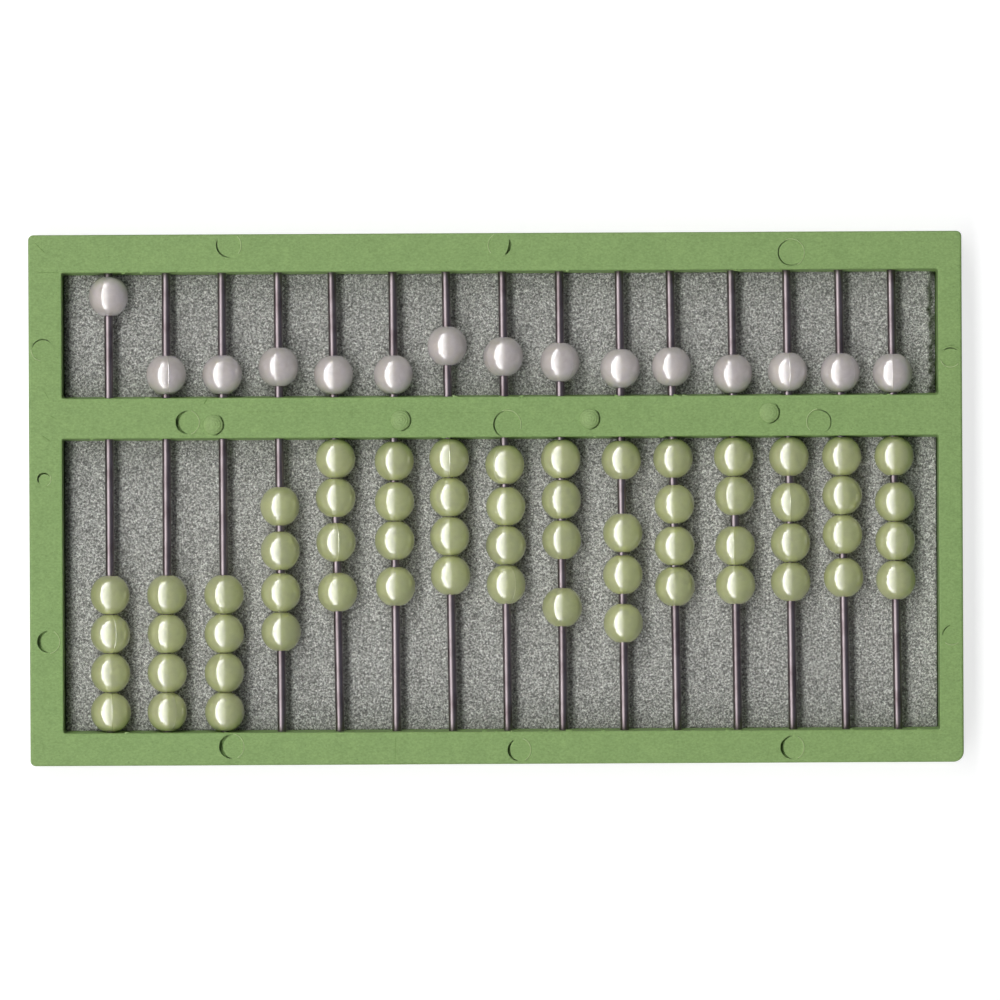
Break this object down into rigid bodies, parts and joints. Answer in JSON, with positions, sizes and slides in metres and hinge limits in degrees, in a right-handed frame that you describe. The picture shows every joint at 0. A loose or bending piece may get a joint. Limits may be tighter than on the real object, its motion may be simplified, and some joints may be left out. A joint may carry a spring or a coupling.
{
  "type": "abacus for the blind",
  "caption": "Flat moulded abacus for blind users: steel rods with sliding round beads above and below a bar with raised dots, over a foam sheet that holds the beads.",
  "frame": {"origin": "middle of the back face", "axes": "+X along the rails to the right, +Y from the bottom rail to the top rail, +Z out of the front"},
  "size_m": [0.16, 0.091, 0.0119],
  "materials": {
    "frame_plastic": "moulded, satin, with scratches",
    "foam": "fine open-cell grey foam",
    "rod_steel": "drawn wire, dulled",
    "upper_pearl": "pale pearl",
    "lower_pearl": "yellow-green pearl"
  },
  "bodies": {
    "frame": {"frame": "frame_plastic", "back_plate": "frame_plastic", "foam_pad": "foam", "rods": "rod_steel"},
    "upper_bead_01": {"upper_bead_01": "upper_pearl"},
    "upper_bead_02": {"upper_bead_02": "upper_pearl"},
    "upper_bead_03": {"upper_bead_03": "upper_pearl"},
    "upper_bead_04": {"upper_bead_04": "upper_pearl"},
    "upper_bead_05": {"upper_bead_05": "upper_pearl"},
    "upper_bead_06": {"upper_bead_06": "upper_pearl"},
    "upper_bead_07": {"upper_bead_07": "upper_pearl"},
    "upper_bead_08": {"upper_bead_08": "upper_pearl"},
    "upper_bead_09": {"upper_bead_09": "upper_pearl"},
    "upper_bead_10": {"upper_bead_10": "upper_pearl"},
    "upper_bead_11": {"upper_bead_11": "upper_pearl"},
    "upper_bead_12": {"upper_bead_12": "upper_pearl"},
    "upper_bead_13": {"upper_bead_13": "upper_pearl"},
    "upper_bead_14": {"upper_bead_14": "upper_pearl"},
    "upper_bead_15": {"upper_bead_15": "upper_pearl"},
    "lower_beads_01_near_bar": {"lower_beads_01_near_bar": "lower_pearl"},
    "lower_beads_01_near_rail": {"lower_beads_01_near_rail": "lower_pearl"},
    "lower_beads_02_near_bar": {"lower_beads_02_near_bar": "lower_pearl"},
    "lower_beads_02_near_rail": {"lower_beads_02_near_rail": "lower_pearl"},
    "lower_beads_03_near_bar": {"lower_beads_03_near_bar": "lower_pearl"},
    "lower_beads_03_near_rail": {"lower_beads_03_near_rail": "lower_pearl"},
    "lower_beads_04_near_bar": {"lower_beads_04_near_bar": "lower_pearl"},
    "lower_beads_04_near_rail": {"lower_beads_04_near_rail": "lower_pearl"},
    "lower_beads_05_near_bar": {"lower_beads_05_near_bar": "lower_pearl"},
    "lower_beads_05_near_rail": {"lower_beads_05_near_rail": "lower_pearl"},
    "lower_beads_06_near_bar": {"lower_beads_06_near_bar": "lower_pearl"},
    "lower_beads_06_near_rail": {"lower_beads_06_near_rail": "lower_pearl"},
    "lower_beads_07_near_bar": {"lower_beads_07_near_bar": "lower_pearl"},
    "lower_beads_07_near_rail": {"lower_beads_07_near_rail": "lower_pearl"},
    "lower_beads_08_near_bar": {"lower_beads_08_near_bar": "lower_pearl"},
    "lower_beads_08_near_rail": {"lower_beads_08_near_rail": "lower_pearl"},
    "lower_beads_09_near_bar": {"lower_beads_09_near_bar": "lower_pearl"},
    "lower_beads_09_near_rail": {"lower_beads_09_near_rail": "lower_pearl"},
    "lower_beads_10_near_bar": {"lower_beads_10_near_bar": "lower_pearl"},
    "lower_beads_10_near_rail": {"lower_beads_10_near_rail": "lower_pearl"},
    "lower_beads_11_near_bar": {"lower_beads_11_near_bar": "lower_pearl"},
    "lower_beads_11_near_rail": {"lower_beads_11_near_rail": "lower_pearl"},
    "lower_beads_12_near_bar": {"lower_beads_12_near_bar": "lower_pearl"},
    "lower_beads_12_near_rail": {"lower_beads_12_near_rail": "lower_pearl"},
    "lower_beads_13_near_bar": {"lower_beads_13_near_bar": "lower_pearl"},
    "lower_beads_13_near_rail": {"lower_beads_13_near_rail": "lower_pearl"},
    "lower_beads_14_near_bar": {"lower_beads_14_near_bar": "lower_pearl"},
    "lower_beads_14_near_rail": {"lower_beads_14_near_rail": "lower_pearl"},
    "lower_beads_15_near_bar": {"lower_beads_15_near_bar": "lower_pearl"},
    "lower_beads_15_near_rail": {"lower_beads_15_near_rail": "lower_pearl"}
  },
  "joints": [
    {"name": "upper_bead_01_slide", "type": "slide", "parent": "frame", "child": "upper_bead_01", "axis": [-0.0011, 1, 0], "range_m": [-0.01397, 0.00043]},
    {"name": "upper_bead_02_slide", "type": "slide", "parent": "frame", "child": "upper_bead_02", "axis": [0.0011, 1, 0], "range_m": [-0.00043, 0.01397]},
    {"name": "upper_bead_03_slide", "type": "slide", "parent": "frame", "child": "upper_bead_03", "axis": [-0.0023, 1, 0], "range_m": [-0.00043, 0.01397]},
    {"name": "upper_bead_04_slide", "type": "slide", "parent": "frame", "child": "upper_bead_04", "axis": [-0.0046, 1, 0], "range_m": [-0.00173, 0.01267]},
    {"name": "upper_bead_05_slide", "type": "slide", "parent": "frame", "child": "upper_bead_05", "axis": [-0.0137, 0.9999, 0], "range_m": [-0.00029, 0.01411]},
    {"name": "upper_bead_06_slide", "type": "slide", "parent": "frame", "child": "upper_bead_06", "axis": [-0.0046, 1, 0], "range_m": [-0.00029, 0.01411]},
    {"name": "upper_bead_07_slide", "type": "slide", "parent": "frame", "child": "upper_bead_07", "axis": [-0.0114, 0.9999, 0], "range_m": [-0.00518, 0.00922]},
    {"name": "upper_bead_08_slide", "type": "slide", "parent": "frame", "child": "upper_bead_08", "axis": [-0.0091, 1, 0], "range_m": [-0.00331, 0.01109]},
    {"name": "upper_bead_09_slide", "type": "slide", "parent": "frame", "child": "upper_bead_09", "axis": [-0.0046, 1, 0], "range_m": [-0.0023, 0.0121]},
    {"name": "upper_bead_10_slide", "type": "slide", "parent": "frame", "child": "upper_bead_10", "axis": [-0.0091, 1, 0], "range_m": [-0.00115, 0.01325]},
    {"name": "upper_bead_11_slide", "type": "slide", "parent": "frame", "child": "upper_bead_11", "axis": [-0.0137, 0.9999, 0], "range_m": [-0.00144, 0.01296]},
    {"name": "upper_bead_12_slide", "type": "slide", "parent": "frame", "child": "upper_bead_12", "axis": [-0.0102, 0.9999, 0], "range_m": [-0.00014, 0.01426]},
    {"name": "upper_bead_13_slide", "type": "slide", "parent": "frame", "child": "upper_bead_13", "axis": [-0.0114, 0.9999, 0], "range_m": [-0.00043, 0.01397]},
    {"name": "upper_bead_14_slide", "type": "slide", "parent": "frame", "child": "upper_bead_14", "axis": [-0.0125, 0.9999, 0], "range_m": [-0.00029, 0.01411]},
    {"name": "upper_bead_15_slide", "type": "slide", "parent": "frame", "child": "upper_bead_15", "axis": [-0.0125, 0.9999, 0], "range_m": [-0.00014, 0.01426]},
    {"name": "lower_beads_01_near_rail_slide", "type": "slide", "parent": "frame", "child": "lower_beads_01_near_rail", "axis": [-0.0011, 1, 0], "range_m": [0, 0.0232]},
    {"name": "lower_beads_01_near_bar_slide", "type": "slide", "parent": "lower_beads_01_near_rail", "child": "lower_beads_01_near_bar", "axis": [0.0011, -1, 0], "range_m": [-0.0232, 0]},
    {"name": "lower_beads_02_near_rail_slide", "type": "slide", "parent": "frame", "child": "lower_beads_02_near_rail", "axis": [0.0011, 1, 0], "range_m": [0, 0.0232]},
    {"name": "lower_beads_02_near_bar_slide", "type": "slide", "parent": "lower_beads_02_near_rail", "child": "lower_beads_02_near_bar", "axis": [-0.0011, -1, 0], "range_m": [-0.0232, 0]},
    {"name": "lower_beads_03_near_rail_slide", "type": "slide", "parent": "frame", "child": "lower_beads_03_near_rail", "axis": [-0.0023, 1, 0], "range_m": [0, 0.0232]},
    {"name": "lower_beads_03_near_bar_slide", "type": "slide", "parent": "lower_beads_03_near_rail", "child": "lower_beads_03_near_bar", "axis": [0.0023, -1, 0], "range_m": [-0.0232, 0]},
    {"name": "lower_beads_04_near_bar_slide", "type": "slide", "parent": "frame", "child": "lower_beads_04_near_bar", "axis": [-0.0046, 1, 0], "range_m": [-0.01369, 0.00812]},
    {"name": "lower_beads_04_near_rail_slide", "type": "slide", "parent": "lower_beads_04_near_bar", "child": "lower_beads_04_near_rail", "axis": [0.0046, -1, 0], "range_m": [-0.00093, 0.01369]},
    {"name": "lower_beads_05_near_bar_slide", "type": "slide", "parent": "frame", "child": "lower_beads_05_near_bar", "axis": [-0.0137, 0.9999, 0], "range_m": [-0.02042, 0]},
    {"name": "lower_beads_05_near_rail_slide", "type": "slide", "parent": "lower_beads_05_near_bar", "child": "lower_beads_05_near_rail", "axis": [0.0137, -0.9999, 0], "range_m": [-0.00186, 0.02042]},
    {"name": "lower_beads_06_near_bar_slide", "type": "slide", "parent": "frame", "child": "lower_beads_06_near_bar", "axis": [-0.0046, 1, 0], "range_m": [-0.02134, 0.00046]},
    {"name": "lower_beads_06_near_rail_slide", "type": "slide", "parent": "lower_beads_06_near_bar", "child": "lower_beads_06_near_rail", "axis": [0.0046, -1, 0], "range_m": [-0.00116, 0.02134]},
    {"name": "lower_beads_07_near_bar_slide", "type": "slide", "parent": "frame", "child": "lower_beads_07_near_bar", "axis": [-0.0114, 0.9999, 0], "range_m": [-0.0232, 0]},
    {"name": "lower_beads_07_near_rail_slide", "type": "slide", "parent": "lower_beads_07_near_bar", "child": "lower_beads_07_near_rail", "axis": [0.0114, -0.9999, 0], "range_m": [0, 0.0232]},
    {"name": "lower_beads_08_near_bar_slide", "type": "slide", "parent": "frame", "child": "lower_beads_08_near_bar", "axis": [-0.0091, 1, 0], "range_m": [-0.02158, 0.00116]},
    {"name": "lower_beads_08_near_rail_slide", "type": "slide", "parent": "lower_beads_08_near_bar", "child": "lower_beads_08_near_rail", "axis": [0.0091, -1, 0], "range_m": [-0.00046, 0.02158]},
    {"name": "lower_beads_09_near_bar_slide", "type": "slide", "parent": "frame", "child": "lower_beads_09_near_bar", "axis": [-0.0046, 1, 0], "range_m": [-0.01763, 0.00023]},
    {"name": "lower_beads_09_near_rail_slide", "type": "slide", "parent": "lower_beads_09_near_bar", "child": "lower_beads_09_near_rail", "axis": [0.0046, -1, 0], "range_m": [-0.00487, 0.01763]},
    {"name": "lower_beads_10_near_bar_slide", "type": "slide", "parent": "frame", "child": "lower_beads_10_near_bar", "axis": [-0.0091, 1, 0], "range_m": [-0.01485, 0.00046]},
    {"name": "lower_beads_10_near_rail_slide", "type": "slide", "parent": "lower_beads_10_near_bar", "child": "lower_beads_10_near_rail", "axis": [0.0091, -1, 0], "range_m": [-0.0058, 0.01485]},
    {"name": "lower_beads_11_near_bar_slide", "type": "slide", "parent": "frame", "child": "lower_beads_11_near_bar", "axis": [-0.0137, 0.9999, 0], "range_m": [-0.02111, 0.00023]},
    {"name": "lower_beads_11_near_rail_slide", "type": "slide", "parent": "lower_beads_11_near_bar", "child": "lower_beads_11_near_rail", "axis": [0.0137, -0.9999, 0], "range_m": [-0.00116, 0.02111]},
    {"name": "lower_beads_12_near_bar_slide", "type": "slide", "parent": "frame", "child": "lower_beads_12_near_bar", "axis": [-0.0102, 0.9999, 0], "range_m": [-0.02134, 0]},
    {"name": "lower_beads_12_near_rail_slide", "type": "slide", "parent": "lower_beads_12_near_bar", "child": "lower_beads_12_near_rail", "axis": [0.0102, -0.9999, 0], "range_m": [-0.00186, 0.02134]},
    {"name": "lower_beads_13_near_bar_slide", "type": "slide", "parent": "frame", "child": "lower_beads_13_near_bar", "axis": [-0.0114, 0.9999, 0], "range_m": [-0.02181, 0]},
    {"name": "lower_beads_13_near_rail_slide", "type": "slide", "parent": "lower_beads_13_near_bar", "child": "lower_beads_13_near_rail", "axis": [0.0114, -0.9999, 0], "range_m": [-0.00116, 0.02181]},
    {"name": "lower_beads_14_near_bar_slide", "type": "slide", "parent": "frame", "child": "lower_beads_14_near_bar", "axis": [-0.0125, 0.9999, 0], "range_m": [-0.0225, 0]},
    {"name": "lower_beads_14_near_rail_slide", "type": "slide", "parent": "lower_beads_14_near_bar", "child": "lower_beads_14_near_rail", "axis": [0.0125, -0.9999, 0], "range_m": [-0.0007, 0.0225]},
    {"name": "lower_beads_15_near_bar_slide", "type": "slide", "parent": "frame", "child": "lower_beads_15_near_bar", "axis": [-0.0125, 0.9999, 0], "range_m": [-0.02204, 0]},
    {"name": "lower_beads_15_near_rail_slide", "type": "slide", "parent": "lower_beads_15_near_bar", "child": "lower_beads_15_near_rail", "axis": [0.0125, -0.9999, 0], "range_m": [-0.00116, 0.02204]}
  ]
}
